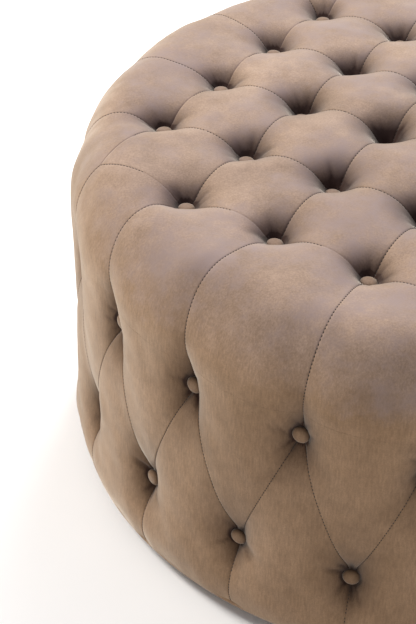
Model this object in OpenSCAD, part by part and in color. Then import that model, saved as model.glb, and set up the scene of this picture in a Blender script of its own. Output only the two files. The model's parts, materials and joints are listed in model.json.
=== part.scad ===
// Round deep-buttoned storage ottoman: an upholstered drum whose tufted top is a hinged lid.
// The origin is the centre of the circle that the feet stand on. +Z is up and the hinges are
// at the back, +Y. The diamond of seat buttons has its corners on the X and Y axes.

/* [Drum] */
// Outer radius of the upholstered drum
drum_r = 500; // [490:1:520]
// Height from the floor to the lower edge of the upholstery
foot_h = 20; // [16:1:30]
// Height of the rim above the lower edge of the upholstery
rim_h = 458; // [450:1:480]
// How far the middle of the seat crowns above the rim
crown = 27; // [15:1:35]
// Width of the rounded rim, measured along the radius
rim_roll_w = 83; // [60:1:95]
// Height of the rounded rim
rim_roll_h = 100; // [70:1:104]
// How far the drum draws in at its lower edge
toe_in = 13; // [6:1:20]
// Height over which the drum draws in
toe_h = 50; // [30:1:60]

/* [Lid] */
// Height of the parting line above the lower edge of the upholstery
split_h = 350; // [346:1:354]
// Gap between the lid and the drum
split_gap = 0.5; // [0.4:0.1:1]
// Radius of the soft edges that meet at the parting line
lip_r = 6; // [5:0.5:8]

/* [Tufting] */
// Spacing of the square grid of seat buttons
seat_pitch = 130; // [124:1:134]
// Number of buttons in each row round the side
side_count = 20; // [18:1:20]
// Height of the upper side row above the lower edge of the upholstery
upper_row_h = 311; // [305:1:315]
// Height of the lower side row above the lower edge of the upholstery
lower_row_h = 110; // [100:1:120]
// Depth of the upper and lower side buttons' backs below the drum's surface
side_pull = 25; // [20:1:28]
// Height of the seat buttons' backs at the rim above the lower edge of the upholstery
seat_button_h = 428; // [424:1:436]
// How much higher the backs of the seat's middle buttons are
button_rise = 14; // [8:1:18]
// Radius of a covered button
button_r = 11; // [9:0.5:12]
// Thickness of a covered button at its crown
button_t = 8; // [6:0.5:10]
// Radius of the tufting twine
twine_r = 1; // [0.8:0.1:1.4]

/* [Soft layers] */
// Thickness of the velvet cover with its backing
cover_t = 1.75; // [1.5:0.05:2]
// Thickness of the polyester batting under the cover
batting_t = 8; // [6:1:9]
// Thickness of the linings and of the dust cover
lining_t = 1; // [0.6:0.1:1.2]

/* [Frame] */
// Outer radius of the timber frame
frame_r = 455; // [450:1:456]
// Thickness of the plywood boards and of the ring
board_t = 18; // [15:1:20]
// Thickness of the bent hardboard outer wall
wall_t = 4; // [3:0.5:5]
// Inner radius of the storage tub
tub_r = 406; // [400:1:408]
// Thickness of the tub's bent wall
tub_wall_t = 3; // [2:0.5:4]
// Number of upright posts
post_count = 10; // [5:5:10]
// Width of an upright post
post_w = 30; // [20:1:32]

/* [Hinges] */
// Distance of each hinge's middle from the lid's centre line
hinge_x = 58; // [54:1:62]
// Length of each hinge along its pin
hinge_w = 44; // [40:1:46]
// Radius of the hinge knuckles
knuckle_r = 3.2; // [3:0.1:3.4]
// Radius of the hinge pins
pin_r = 1.5; // [1.2:0.1:1.7]

/* [Feet] */
// Number of feet
foot_count = 6; // [5:1:8]
// Radius of a foot where it meets the base
foot_r = 26; // [22:1:28]
// Distance of the feet from the drum's axis
foot_ring_r = 368; // [350:1:374]
// Thickness of the felt glide under each foot
glide_t = 3; // [2:0.5:4]

/* [Hidden] */
$fn = 96;

velvet_colour = [0.66, 0.55, 0.47];
foam_colour = [0.93, 0.87, 0.62];
ply_colour = [0.80, 0.66, 0.46];
hardboard_colour = [0.48, 0.34, 0.22];
lining_colour = [0.16, 0.15, 0.15];
steel_colour = [0.70, 0.70, 0.72];

// Levels, measured from the floor
edge_z = foot_h;
base_z = edge_z + cover_t;
floor_z = base_z + board_t;
split_z = edge_z + split_h;
body_top_z = split_z - split_gap / 2;
ring_top_z = body_top_z - cover_t;
ring_z = ring_top_z - board_t;
lid_z = split_z + split_gap / 2;
panel_z = lid_z + cover_t;
panel_top_z = panel_z + board_t;
seat_back_z = edge_z + seat_button_h;
top_z = edge_z + rim_h + crown;

// Radii
seat_r = drum_r - rim_roll_w;
rail_r = frame_r - wall_t;
post_r = tub_r + lining_t + tub_wall_t;
flange_r = 425;
side_back_r = drum_r - side_pull;

// Dimples: a flat seat for the button with a cone opening outwards
dimple_seat_r = button_r + 1;
side_dimple_a = 55;
seat_dimple_a = 45;
hole_play = 0.2;
side_step = 360 / side_count;
eps = 1;

// Hinges: the pin lies in the parting plane, just inside the drum's outline
hinge_y = drum_r - knuckle_r - 0.3;
leaf_end_y = tub_r + 6;
leaf_back_y = hinge_y - knuckle_r - 0.8;
knuckle_gap = 0.3;
mid_knuckle_w = hinge_w / 3;
pocket_play = 0.75;
hinge_screw_r = 1.8;
hinge_screw_l = 14;
hinge_screw_x = 12;
hinge_screw_rows = [leaf_end_y + 8, leaf_end_y + 27];

washer_r = 8;
washer_t = 1.2;
washer_play = 0.3;
frame_screw_r = 2;
frame_screw_l = 55;
foot_screw_r = 2.5;

// Seat buttons: a 6 by 6 square grid turned by 45 degrees, without its four corners
seat_spots = [
    for (i = [-2.5 : 2.5], j = [-2.5 : 2.5])
        if (abs(i) + abs(j) < 5)
            seat_pitch * [(i + j) * cos(45), (j - i) * cos(45)]
];

// Height of a seat button's back, which follows the seat's crown
function seat_back(p) = seat_back_z + button_rise * (1 - pow(norm(p) / seat_r, 2));

// ---- Shared shapes -------------------------------------------------------

// Quarter of an ellipse from its widest point up to its highest
function roll(r, z, w, h, n) = [
    for (k = [0 : n]) [r - w + w * cos(90 * k / n), z + h * sin(90 * k / n)]
];

// Section of the drum's upholstery below the parting line, drawn in by t all round
module body_section(t) {
    lip = max(lip_r - t, 0.5);
    polygon(concat(
        [[tub_r, edge_z + t], [drum_r - toe_in - 8 - t / 2, edge_z + t],
         [drum_r - toe_in - t, edge_z + 8 + t / 2], [drum_r - t, edge_z + toe_h]],
        roll(drum_r - t, body_top_z - t - lip, lip, lip, 4),
        [[tub_r, body_top_z - t]]
    ));
}

// Section of the lid's upholstery, drawn in by t all round
module lid_section(t) {
    lip = max(lip_r - t, 0.5);
    roll_z = edge_z + rim_h - rim_roll_h;
    polygon(concat(
        [[0, lid_z + t]],
        [for (k = [0 : 4])
            [drum_r - t - lip + lip * sin(22.5 * k), lid_z + t + lip - lip * cos(22.5 * k)]],
        roll(drum_r - t, max(roll_z, lid_z + t + lip + 2), rim_roll_w - t,
             edge_z + rim_h - t - max(roll_z, lid_z + t + lip + 2), 8),
        [for (k = [2 : -1 : 0])
            let (r = seat_r * k / 3) [r, edge_z + rim_h - t + crown * (1 - pow(r / seat_r, 2))]]
    ));
}

// One dimple along +Z from its seat, widened to match a layer drawn in by t
module dimple(depth, angle, t) {
    seat = dimple_seat_r + t * (1 / cos(angle) - tan(angle));
    run = depth + t + 20;
    translate([0, 0, -t]) cylinder(h = run, r1 = seat, r2 = seat + run * tan(angle), $fn = 48);
}

// Places its children at every button of a side row, +Z pointing out of the drum
module at_side_row(height, half_step) {
    for (k = [0 : side_count - 1])
        rotate([0, 0, side_step * (k + half_step)])
            translate([side_back_r, 0, edge_z + height]) rotate([0, 90, 0]) children();
}

module at_all_sides() {
    at_side_row(upper_row_h, 0) children();
    at_side_row(lower_row_h, 0.5) children();
}

module at_seat() {
    for (p = seat_spots) translate([p.x, p.y, seat_back(p)]) children();
}

// Places its children on the lid panel's lower face, under every seat button
module under_seat() {
    for (p = seat_spots) translate([p.x, p.y, panel_z]) children();
}

module body_form(t) {
    difference() {
        rotate_extrude(convexity = 6) body_section(t);
        at_all_sides() dimple(side_pull, side_dimple_a, t);
    }
}

module lid_form(t) {
    difference() {
        rotate_extrude(convexity = 6) lid_section(t);
        at_seat() dimple(top_z - seat_back_z, seat_dimple_a, t);
        at_side_row(upper_row_h, 0) dimple(side_pull, side_dimple_a, t);
    }
}

module ring(r_in, r_out, z, h) {
    translate([0, 0, z]) difference() {
        cylinder(h = h, r = r_out);
        translate([0, 0, -eps]) cylinder(h = h + 2 * eps, r = r_in);
    }
}

module disc(r, z, h) {
    translate([0, 0, z]) cylinder(h = h, r = r);
}

// A box from one corner to the other
module block(a, b) {
    translate(a) cube(b - a);
}

// A layer's passage for the tufting twine
module side_twine_holes() {
    at_all_sides() translate([0, 0, -side_back_r + post_r + 20])
        cylinder(h = side_back_r - post_r, r = twine_r + hole_play, $fn = 24);
}

module seat_twine_holes() {
    for (p = seat_spots) translate([p.x, p.y, panel_z - eps])
        cylinder(h = seat_back(p) - panel_z + 2 * eps, r = twine_r + hole_play, $fn = 24);
}

module covered_button() {
    rotate_extrude($fn = 48) polygon(concat(
        [[0, 0], [button_r - 2, 0], [button_r, 1.5]],
        [for (k = [0 : 6]) [button_r * cos(15 * k), 3 + (button_t - 3) * sin(15 * k)]]
    ));
}

// Flat washer lying below its origin, with the twine's hole
module washer() {
    translate([0, 0, -washer_t]) difference() {
        cylinder(h = washer_t, r = washer_r, $fn = 32);
        translate([0, 0, -eps]) cylinder(h = washer_t + 2 * eps, r = twine_r, $fn = 24);
    }
}

// Countersunk screw along -Z with its head's face at the origin
module flat_screw(r, l) {
    union() {
        translate([0, 0, -r]) cylinder(h = r, r1 = r, r2 = 2 * r, $fn = 24);
        translate([0, 0, -l]) cylinder(h = l - r, r = r, $fn = 24);
    }
}

// ---- Feet and base -------------------------------------------------------

module at_feet() {
    for (k = [0 : foot_count - 1])
        rotate([0, 0, 360 * (k + 0.5) / foot_count]) translate([foot_ring_r, 0, 0]) children();
}

module foot_glides() {
    color([0.25, 0.23, 0.21]) at_feet() cylinder(h = glide_t, r = foot_r - 4);
}

module feet() {
    recess_z = glide_t + 7;
    color([0.10, 0.09, 0.09]) at_feet() difference() {
        translate([0, 0, glide_t])
            cylinder(h = base_z - lining_t - glide_t, r1 = foot_r - 3, r2 = foot_r);
        translate([0, 0, glide_t - eps]) cylinder(h = recess_z - glide_t + eps, r = 6);
        cylinder(h = base_z, r = foot_screw_r);
    }
}

module foot_screw() {
    translate([0, 0, glide_t + 7 - 3]) cylinder(h = 3, r = 5, $fn = 32);
    translate([0, 0, glide_t + 7]) cylinder(h = 25, r = foot_screw_r, $fn = 32);
}

module foot_screws() {
    color(steel_colour) at_feet() foot_screw();
}

module dust_cover() {
    color(lining_colour) difference() {
        disc(tub_r - 0.5, base_z - lining_t, lining_t);
        at_feet() cylinder(h = 2 * base_z, r = foot_screw_r);
    }
}

module base_board() {
    color(ply_colour) difference() {
        disc(rail_r, base_z, board_t);
        at_feet() foot_screw();
        frame_screws_solid();
    }
}

// ---- Timber frame --------------------------------------------------------

module at_posts() {
    for (k = [0 : post_count - 1])
        rotate([0, 0, side_step / 4 + 360 * k / post_count]) children();
}

module frame_screws_solid() {
    at_posts() translate([(post_r + rail_r) / 2, 0, 0]) {
        translate([0, 0, ring_top_z]) flat_screw(frame_screw_r, frame_screw_l);
        translate([0, 0, base_z]) mirror([0, 0, 1]) flat_screw(frame_screw_r, frame_screw_l);
    }
}

module frame_screws() {
    color(steel_colour) frame_screws_solid();
}

module frame_posts() {
    color(ply_colour) difference() {
        intersection() {
            at_posts() block([post_r - 10, -post_w / 2, floor_z], [frame_r, post_w / 2, ring_z]);
            ring(post_r, rail_r, floor_z, ring_z - floor_z);
        }
        frame_screws_solid();
    }
}

module top_ring() {
    color(ply_colour) difference() {
        ring(tub_r + cover_t, rail_r, ring_z, board_t);
        frame_screws_solid();
        hinge_body_screws_solid();
    }
}

module outer_wall() {
    color(hardboard_colour) difference() {
        ring(rail_r, frame_r, base_z, ring_top_z - base_z);
        side_twine_holes();
    }
}

module tub_wall() {
    color(hardboard_colour) ring(tub_r + lining_t, post_r, floor_z, ring_z - floor_z);
}

module tub_lining() {
    color(lining_colour)
        ring(tub_r, tub_r + lining_t, floor_z + lining_t, ring_z - floor_z - lining_t);
}

module tub_floor_lining() {
    color(lining_colour) disc(tub_r + lining_t, floor_z, lining_t);
}

// ---- Drum upholstery -----------------------------------------------------

module body_foam() {
    color(foam_colour) difference() {
        body_form(cover_t + batting_t);
        disc(frame_r, 0, top_z);
        side_twine_holes();
        knuckle_pockets();
    }
}

module body_batting() {
    color([0.95, 0.95, 0.93]) difference() {
        body_form(cover_t);
        body_form(cover_t + batting_t);
        disc(frame_r, 0, top_z);
        side_twine_holes();
        knuckle_pockets();
    }
}

module body_cover() {
    color(velvet_colour) {
        difference() {
            union() {
                difference() {
                    body_form(0);
                    body_form(cover_t);
                }
                ring(tub_r, tub_r + cover_t, ring_z, body_top_z - ring_z);
            }
            side_twine_holes();
            knuckle_pockets();
            leaf_pockets();
        }
    }
}

module upper_side_buttons() {
    color(velvet_colour) at_side_row(upper_row_h, 0) covered_button();
}

module lower_side_buttons() {
    color(velvet_colour) at_side_row(lower_row_h, 0.5) covered_button();
}

module side_twine() {
    color([0.85, 0.82, 0.72]) at_all_sides()
        translate([0, 0, rail_r - washer_t - side_back_r])
            cylinder(h = side_back_r - rail_r + washer_t, r = twine_r, $fn = 24);
}

module side_washers() {
    flat = rail_r * (1 - cos(asin(washer_r / rail_r))) + 0.05;
    color(steel_colour) at_all_sides()
        translate([0, 0, rail_r - side_back_r - flat]) washer();
}

// ---- Hinges --------------------------------------------------------------

module at_hinges() {
    for (s = [-1, 1]) translate([s * hinge_x, 0, 0]) children();
}

// Room in the upholstery for the knuckles
module knuckle_pockets() {
    half = hinge_w / 2 + pocket_play;
    reach = knuckle_r + 1.3;
    at_hinges() block([-half, hinge_y - reach - 0.5, split_z - reach],
                      [half, drum_r + eps, split_z + reach]);
}

// Room in the covers' turned-in edges for the leaves
module leaf_pockets() {
    half = hinge_w / 2 + pocket_play;
    at_hinges() block([-half, leaf_end_y - pocket_play, ring_top_z],
                      [half, drum_r + eps, panel_z]);
}

module knuckle(x, w, bore_r) {
    translate([x, hinge_y, split_z]) rotate([0, 90, 0]) difference() {
        cylinder(h = w, r = knuckle_r, $fn = 48);
        translate([0, 0, -eps]) cylinder(h = w + 2 * eps, r = bore_r, $fn = 48);
    }
}

module hinge_screw_spots(z) {
    for (s = [-1, 1], y = hinge_screw_rows) translate([s * hinge_screw_x, y, z]) children();
}

module hinge_body_screws_solid() {
    at_hinges() hinge_screw_spots(body_top_z) flat_screw(hinge_screw_r, hinge_screw_l);
}

module hinge_lid_screws_solid() {
    at_hinges() hinge_screw_spots(lid_z) mirror([0, 0, 1])
        flat_screw(hinge_screw_r, hinge_screw_l);
}

module pin_bore() {
    translate([-hinge_w, hinge_y, split_z]) rotate([0, 90, 0])
        cylinder(h = 2 * hinge_w, r = pin_r, $fn = 48);
}

module hinge_body_leaves() {
    side_w = (hinge_w - mid_knuckle_w) / 2;
    color(steel_colour) difference() {
        at_hinges() {
            block([-hinge_w / 2, leaf_end_y, ring_top_z], [hinge_w / 2, leaf_back_y, body_top_z]);
            for (x = [-hinge_w / 2, mid_knuckle_w / 2]) {
                knuckle(x, side_w, pin_r);
                difference() {
                    block([x, leaf_back_y - eps, ring_top_z], [x + side_w, hinge_y, body_top_z]);
                    pin_bore();
                }
            }
        }
        hinge_body_screws_solid();
    }
}

module hinge_lid_leaves() {
    half = mid_knuckle_w / 2 - knuckle_gap;
    bore_r = pin_r + 0.05;
    color(steel_colour) difference() {
        at_hinges() {
            block([-hinge_w / 2, leaf_end_y, lid_z], [hinge_w / 2, leaf_back_y, panel_z]);
            knuckle(-half, 2 * half, bore_r);
            difference() {
                block([-half, leaf_back_y - eps, lid_z], [half, hinge_y, panel_z]);
                translate([-half - eps, hinge_y, split_z]) rotate([0, 90, 0])
                    cylinder(h = 2 * (half + eps), r = bore_r, $fn = 48);
            }
        }
        hinge_lid_screws_solid();
    }
}

module hinge_pins() {
    color(steel_colour) at_hinges() translate([-hinge_w / 2, hinge_y, split_z])
        rotate([0, 90, 0]) cylinder(h = hinge_w, r = pin_r, $fn = 48);
}

module hinge_body_screws() {
    color(steel_colour) hinge_body_screws_solid();
}

module hinge_lid_screws() {
    color(steel_colour) hinge_lid_screws_solid();
}

// ---- Lid -----------------------------------------------------------------

// Counterbore under the panel that takes a washer and its knot
module seat_washer_recess() {
    translate([0, 0, -eps])
        cylinder(h = washer_t + washer_play + eps, r = washer_r + 0.5, $fn = 32);
}

module lid_panel() {
    color(ply_colour) difference() {
        disc(frame_r, panel_z, board_t);
        seat_twine_holes();
        under_seat() seat_washer_recess();
        hinge_lid_screws_solid();
    }
}

module lid_foam() {
    color(foam_colour) difference() {
        lid_form(cover_t + batting_t);
        disc(frame_r, 0, panel_top_z);
        seat_twine_holes();
        knuckle_pockets();
    }
}

module lid_batting() {
    color([0.95, 0.95, 0.93]) difference() {
        lid_form(cover_t);
        lid_form(cover_t + batting_t);
        disc(frame_r, 0, panel_top_z);
        seat_twine_holes();
        knuckle_pockets();
    }
}

module lid_cover() {
    color(velvet_colour) difference() {
        lid_form(0);
        lid_form(cover_t);
        disc(flange_r, lid_z - eps, cover_t + 2 * eps);
        seat_twine_holes();
        knuckle_pockets();
        leaf_pockets();
    }
}

module seat_buttons() {
    color(velvet_colour) at_seat() covered_button();
}

module seat_twine() {
    color([0.85, 0.82, 0.72])
        for (p = seat_spots) translate([p.x, p.y, panel_z + washer_play])
            cylinder(h = seat_back(p) - panel_z - washer_play, r = twine_r, $fn = 24);
}

module seat_washers() {
    color(steel_colour) under_seat() translate([0, 0, washer_t + washer_play]) washer();
}

module lid_lining() {
    color(lining_colour) difference() {
        disc(flange_r - 0.5, panel_z - lining_t, lining_t);
        leaf_pockets();
    }
}

// ---- Nodes ---------------------------------------------------------------

foot_glides();
feet();
foot_screws();
dust_cover();
base_board();
frame_posts();
frame_screws();
top_ring();
outer_wall();
tub_wall();
tub_lining();
tub_floor_lining();
body_foam();
body_batting();
body_cover();
upper_side_buttons();
lower_side_buttons();
side_twine();
side_washers();
hinge_body_leaves();
hinge_pins();
hinge_body_screws();
lid_panel();
lid_foam();
lid_batting();
lid_cover();
seat_buttons();
seat_twine();
seat_washers();
lid_lining();
hinge_lid_leaves();
hinge_lid_screws();
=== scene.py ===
"""Looks of a round deep-buttoned velvet storage ottoman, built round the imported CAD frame.

The cover is one net of sewn panels over the drum: 25 squares on the seat, 20 panels over the
rim and 20 below them. A membrane that rests on foam is solved over the whole net, held down at
every button and pulled in along every seam, and the net is then cut at the lid's parting line.
"""

import json
import math

import bmesh
import bpy
import numpy as np
from mathutils import Matrix, Vector


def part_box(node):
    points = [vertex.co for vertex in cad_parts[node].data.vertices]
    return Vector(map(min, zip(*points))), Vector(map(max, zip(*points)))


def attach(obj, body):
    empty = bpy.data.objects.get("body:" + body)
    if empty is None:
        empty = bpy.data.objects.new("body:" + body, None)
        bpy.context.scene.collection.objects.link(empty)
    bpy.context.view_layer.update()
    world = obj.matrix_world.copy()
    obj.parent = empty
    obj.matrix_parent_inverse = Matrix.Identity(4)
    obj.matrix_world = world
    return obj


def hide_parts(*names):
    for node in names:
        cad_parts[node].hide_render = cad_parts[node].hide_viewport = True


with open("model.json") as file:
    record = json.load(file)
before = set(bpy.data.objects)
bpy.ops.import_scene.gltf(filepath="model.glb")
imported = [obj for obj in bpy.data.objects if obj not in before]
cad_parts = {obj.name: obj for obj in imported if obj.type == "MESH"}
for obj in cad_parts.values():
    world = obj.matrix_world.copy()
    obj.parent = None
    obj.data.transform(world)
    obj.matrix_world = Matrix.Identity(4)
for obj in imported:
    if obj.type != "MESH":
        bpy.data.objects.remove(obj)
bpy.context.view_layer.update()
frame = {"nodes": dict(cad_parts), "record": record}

MM = 0.001

# ---- Sizes, from the frame ----------------------------------------------------------------

body_lo, body_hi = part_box("body_cover")
lid_lo, lid_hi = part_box("lid_cover")
upper_lo, upper_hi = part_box("upper_side_buttons")
lower_lo, lower_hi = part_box("lower_side_buttons")
seat_lo, seat_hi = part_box("seat_buttons")
floor_lo, floor_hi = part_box("tub_floor_lining")
hinge_lo, hinge_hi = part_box("hinge_pins")

DRUM_R = body_hi[0]
EDGE_Z = body_lo[2]
BODY_TOP_Z = body_hi[2]
LID_Z = lid_lo[2]
SPLIT_Z = (BODY_TOP_Z + LID_Z) / 2
SEAT_TOP_Z = lid_hi[2]
BUTTON_R = (upper_hi[2] - upper_lo[2]) / 2
SIDE_BACK_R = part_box("side_twine")[1][0]
BUTTON_T = upper_hi[0] - SIDE_BACK_R
SEAT_PITCH = (seat_hi[0] - BUTTON_R) / (4 * math.cos(math.pi / 4))
SEAT_BACK_Z = seat_lo[2]
UPPER_Z = (upper_lo[2] + upper_hi[2]) / 2
LOWER_Z = (lower_lo[2] + lower_hi[2]) / 2
TUB_R = floor_hi[0] - (floor_hi[2] - floor_lo[2])
FLANGE_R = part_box("lid_lining")[1][0]

# The drum's section: the seat's crown, the rim's roll, the toe that draws in below, and the hem
CROWN = 27 * MM
ROLL_W = 83 * MM
ROLL_H = 100 * MM
TOE_IN = 13 * MM
TOE_H = 50 * MM
HEM_R = 6 * MM
SEAT_R = DRUM_R - ROLL_W
RIM_Z = SEAT_TOP_Z - CROWN
RIM_MIDDLE_Z = RIM_Z - ROLL_H / 2
# How much higher a button at the seat's middle would be than one at its rim
BUTTON_RISE = 7 * MM

SIDE_COUNT = 20
SIDE_STEP = 2 * math.pi / SIDE_COUNT

# Points that fall in one cell are one point. The shift keeps exact coordinates off the cells' edges
WELD_CELL = 0.1 * MM
CELL_SHIFT = 0.3737

# The solver stops at this share of its first error, or after this many rounds
SOLVE_SHARE = 1e-9
SOLVE_ROUNDS = 700

# How far a pull spreads through the foam, and how hard the seams pull
SEAT_REACH = 50 * MM
SIDE_REACH = 43 * MM
SEAT_SEAM_PULL = 17 * MM
SIDE_SEAM_PULL = 14 * MM
SEAM_TUCK = 1.2 * MM
# How far a tuft stands out, the depth that its height is counted in, and how full its shoulder is
SEAT_PUFF = 10 * MM
SIDE_PUFF = 4 * MM
SEAT_DROP = 40 * MM
SIDE_DROP = 27 * MM
SHOULDER = 1.42
# The share of a button's radius that it holds down, and the most that a point lies from its back
HOLD = 0.9
NEAR_BACK = 100 * MM
# The dips in the hem under each lower button; their width is in turns between two buttons
HEM_DIP = 2.5 * MM
HEM_DIP_W = 0.09
# The seam's stitched groove, and the deeper crease that it becomes near a button
GROOVE_DEPTH = 0.55 * MM
GROOVE_W = 1.0 * MM
CREASE_DEPTH = 5 * MM
CREASE_W = 7 * MM
CREASE_REACH = 34 * MM
CREASE_START = 6 * MM
# The small pleats round a button; the ranges are in millimetres, and in radians for the width
PLEAT_COUNT = 7
PLEAT_SEED = 23
PLEAT_MIDDLE = (15, 24)
PLEAT_REACH = (7, 15)
PLEAT_W = (0.08, 0.17)
PLEAT_SIZE = (0.5, 2.2)
PLEAT_FIELD = 60 * MM
PLEAT_CALM = 4 * MM
SEAT_PLEATS = 0.6
# The foam's soft unevenness: (height, length, seed), fading out this near to a seam
WAVES = ((1.0 * MM, 95 * MM, 3), (0.35 * MM, 33 * MM, 4))
WAVE_CALM = 25 * MM

# Crushed pile with painted shade: painted fully dark this deep, and part dark round each button and in
# the pleats
CRUSH_SHADE_DROP = 29 * MM
RING_SHADE = 0.6
RING_SHADE_W = 2.5 * MM
FOLD_SHADE = 0.20
FOLD_SHADE_FULL = 1.2 * MM
# The way the pile leans over the whole cover: faces that look up and this way are painted paler, the
# pile's lie with a painted sheen
NAP_SHEEN_WAY = np.array([0.45, -0.89, 0.0])
SHEEN_LAY_MIDDLE = 0.7
SHEEN_LAY_SPAN = 0.55
# Painted light and shade on the seat's slopes: slopes that face this way get painted shade, those
# against it painted warm light
SHADED_WAY = np.array([0.94, -0.34, 0.0])
SIDE_SHADE_FADE = 1.3

# The covers' turned edges
LIP = 0.15 * MM
JOIN_GAP = 0.05 * MM
INNER_ROLL = 2.5 * MM
LEVEL = 0.01 * MM
CUT_DIST = 0.001 * MM
HINGE_X = 58 * MM
POCKET_PLAY = 0.4 * MM
KNUCKLE_R = 5 * MM
KNUCKLE_PLAY = 1 * MM
KNUCKLE_REACH = 12 * MM

# The buttons lean a little at random. Their velvet is painted darker as crushed pile and painted
# shade, most at the back edge, least on top
BUTTON_SIDES = 40
BUTTON_SEED = 11
BUTTON_TILT = 0.05
BUTTON_SHADE = 0.33
SKIRT_SHADE = 0.60
# The share of the upward faces' paler painted sheen that the seat buttons get
LID_BUTTON_SHEEN = 0.45
STITCH_PITCH = 4.6 * MM
STITCH_L = 2.4 * MM
STITCH_R = 0.65 * MM
STITCH_SIDES = 5
STITCH_LIFT = 0.25 * MM

LINING_T = 0.6 * MM
DISC_T = 0.45 * MM
FLOOR_T = 0.5 * MM
STAPLE_PITCH = 34 * MM
STAPLE_INSET = 7 * MM
STAPLE_W = 9 * MM
STAPLE_WIRE = 0.30 * MM
STAPLE_FLAT = 0.6 * MM
# A staple's wire: how far along its width, and how far up into the board
STAPLE_ROUTE = ((-0.5, 1.2 * MM), (-0.5, 0.4 * MM), (-0.44, 0.0), (0.44, 0.0), (0.5, 0.4 * MM),
                (0.5, 1.2 * MM))
HEM_W = 14 * MM
WALL_WIDTHS = 4
WALL_SIDES = 360
WALL_ROWS = 26
FLOOR_SIDES = 300


# ---- The untufted drum --------------------------------------------------------------------

def drum_section():
    """Radius and height of the smooth drum from the seat's middle to its lower edge."""
    u = np.linspace(0, 1, 90, endpoint=False)
    seat = np.column_stack([SEAT_R * u, RIM_Z + CROWN * (1 - u**2) ** 2])
    a = np.radians(np.linspace(0, 90, 90))
    rim = np.column_stack([SEAT_R + ROLL_W * np.sin(a), RIM_Z - ROLL_H * (1 - np.cos(a))])
    z = np.linspace(RIM_Z - ROLL_H, EDGE_Z + TOE_H, 60)[1:]
    side = np.column_stack([np.full_like(z, DRUM_R), z])
    w = np.linspace(0, 1, 30)[1:]
    toe_z = EDGE_Z + TOE_H - w * (TOE_H - HEM_R)
    toe = np.column_stack([DRUM_R - (TOE_IN - HEM_R) * w**2, toe_z])
    return np.vstack([seat, rim, side, toe])


SECTION = drum_section()
STEPS = np.linalg.norm(np.diff(SECTION, axis=0), axis=1)
SIGMA = np.concatenate([[0], np.cumsum(STEPS)])
SLOPE = np.gradient(SECTION, SIGMA, axis=0)
SLOPE /= np.linalg.norm(SLOPE, axis=1)[:, None]
WIDEST = int(np.argmax(SECTION[:, 0]))


def sigma_at_radius(r):
    return np.interp(r, SECTION[: WIDEST + 1, 0], SIGMA[: WIDEST + 1])


def sigma_at_height(z):
    return np.interp(-z, -SECTION[:, 1], SIGMA)


def on_drum(polar):
    """Points and outward normals for rows of (angle, distance from the seat's middle)."""
    angle, sigma = polar[:, 0], polar[:, 1]
    r = np.interp(sigma, SIGMA, SECTION[:, 0])
    z = np.interp(sigma, SIGMA, SECTION[:, 1])
    tr = np.interp(sigma, SIGMA, SLOPE[:, 0])
    tz = np.interp(sigma, SIGMA, SLOPE[:, 1])
    c, s = np.cos(angle), np.sin(angle)
    return np.column_stack([r * c, r * s, z]), np.column_stack([-tz * c, -tz * s, tr])


def plan_to_polar(plan):
    r = np.hypot(plan[:, 0], plan[:, 1])
    return np.column_stack([np.arctan2(plan[:, 1], plan[:, 0]), sigma_at_radius(r)])


# ---- The net of seams ---------------------------------------------------------------------

def seat_spot(i, j):
    """Plan position of a point of the seat's grid, which is turned by 45 degrees."""
    return SEAT_PITCH * math.sqrt(0.5) * np.array([i + j, j - i])


def ring_spots():
    """The grid's 20 outer points in order round the seat, starting at the corner on +X."""
    walk = [2.5, 1.5, 0.5, -0.5, -1.5]
    spots = [seat_spot(i, 2.5) for i in walk]
    for _ in range(3):
        spots += [np.array([-p[1], p[0]]) for p in spots[-5:]]
    return spots


RING = ring_spots()


def unwrapped(angle, near):
    return angle + 2 * math.pi * round((near - angle) / (2 * math.pi))


def ring_polar(k):
    """A ring point as (angle, distance), with its angle near the k-th upper button's."""
    x, y = RING[k % SIDE_COUNT]
    angle = unwrapped(math.atan2(y, x), SIDE_STEP * k)
    return np.array([angle, float(sigma_at_radius(math.hypot(x, y)))])


UPPER_SIGMA = float(sigma_at_height(UPPER_Z))
LOWER_SIGMA = float(sigma_at_height(LOWER_Z))


def side_polar(k, sigma):
    return np.array([SIDE_STEP * k, sigma])


def straight(a, b):
    """A line between two points in the panel's own flat coordinates."""
    return lambda t: a + np.outer(t, b - a)


def seat_line(k):
    """The straight seam between ring points k and k + 1, in polar coordinates."""
    a, b = RING[k % SIDE_COUNT], RING[(k + 1) % SIDE_COUNT]

    def line(t):
        polar = plan_to_polar(a + np.outer(t, b - a))
        near = SIDE_STEP * (k + 0.5)
        polar[:, 0] += 2 * math.pi * np.round((near - polar[:, 0]) / (2 * math.pi))
        return polar

    return line


def panels():
    """Each panel as (its edges in order round it, whether each is a seam, its coordinates)."""
    out = []
    steps = [-2.5, -1.5, -0.5, 0.5, 1.5]
    for i in steps:
        for j in steps:
            c = [seat_spot(i, j), seat_spot(i + 1, j), seat_spot(i + 1, j + 1), seat_spot(i, j + 1)]
            edges = [straight(c[n], c[(n + 1) % 4]) for n in range(4)]
            out.append((edges, [True] * 4, "plan"))
    for k in range(SIDE_COUNT):
        p, q = ring_polar(k), ring_polar(k + 1)
        u, v = side_polar(k, UPPER_SIGMA), side_polar(k + 1, UPPER_SIGMA)
        low, before = side_polar(k + 0.5, LOWER_SIGMA), side_polar(k - 0.5, LOWER_SIGMA)
        hem_a, hem_b = side_polar(k - 0.5, SIGMA[-1]), side_polar(k + 0.5, SIGMA[-1])
        edges = [seat_line(k), straight(q, v), straight(v, low), straight(low, u), straight(u, p)]
        out.append((edges, [True] * 5, "polar"))
        edges = [straight(u, low), straight(low, hem_b), straight(hem_b, hem_a),
                 straight(hem_a, before), straight(before, u)]
        out.append((edges, [True, True, False, True, True], "polar"))
    return out


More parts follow.
